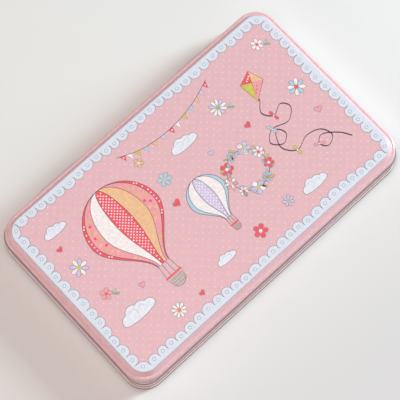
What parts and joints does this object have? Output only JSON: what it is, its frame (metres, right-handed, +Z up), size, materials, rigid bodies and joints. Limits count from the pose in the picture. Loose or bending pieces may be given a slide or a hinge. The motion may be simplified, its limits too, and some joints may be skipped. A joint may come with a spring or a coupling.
{
  "type": "games tin with hinged lid",
  "caption": "Slim printed tinplate box with a stepped lid on two butt hinges, a seamed base with a stop bead, and a moulded tray with card wells.",
  "frame": {"origin": "middle of the foot, on the surface that the tin stands on", "axes": "+X along the long side, +Y towards the hinges at the back, +Z up"},
  "size_m": [0.192, 0.1183, 0.0233],
  "materials": {
    "lid_print": "tinplate printed pink with a pale lace border, satin varnish",
    "wall_print": "tinplate under a thin rosy lacquer, satin",
    "bottom_tinplate": "bare tinplate",
    "tray_plastic": "thermoformed sheet, matt",
    "hinge_steel": "stamped and tinned",
    "pin_steel": "drawn wire with domed heads"
  },
  "bodies": {
    "base": {"base_wall": "wall_print", "base_bottom": "bottom_tinplate", "card_tray": "tray_plastic", "base_leaf_left": "hinge_steel", "base_leaf_right": "hinge_steel", "hinge_pin_left": "pin_steel", "hinge_pin_right": "pin_steel"},
    "lid": {"lid_shell": "lid_print", "lid_leaf_left": "hinge_steel", "lid_leaf_right": "hinge_steel"}
  },
  "joints": [
    {"name": "lid_hinge", "type": "hinge", "parent": "base", "child": "lid", "pos_m": [0, 0.05864, 0.012], "axis": [-1, 0, 0], "range_deg": [0, 110]}
  ]
}
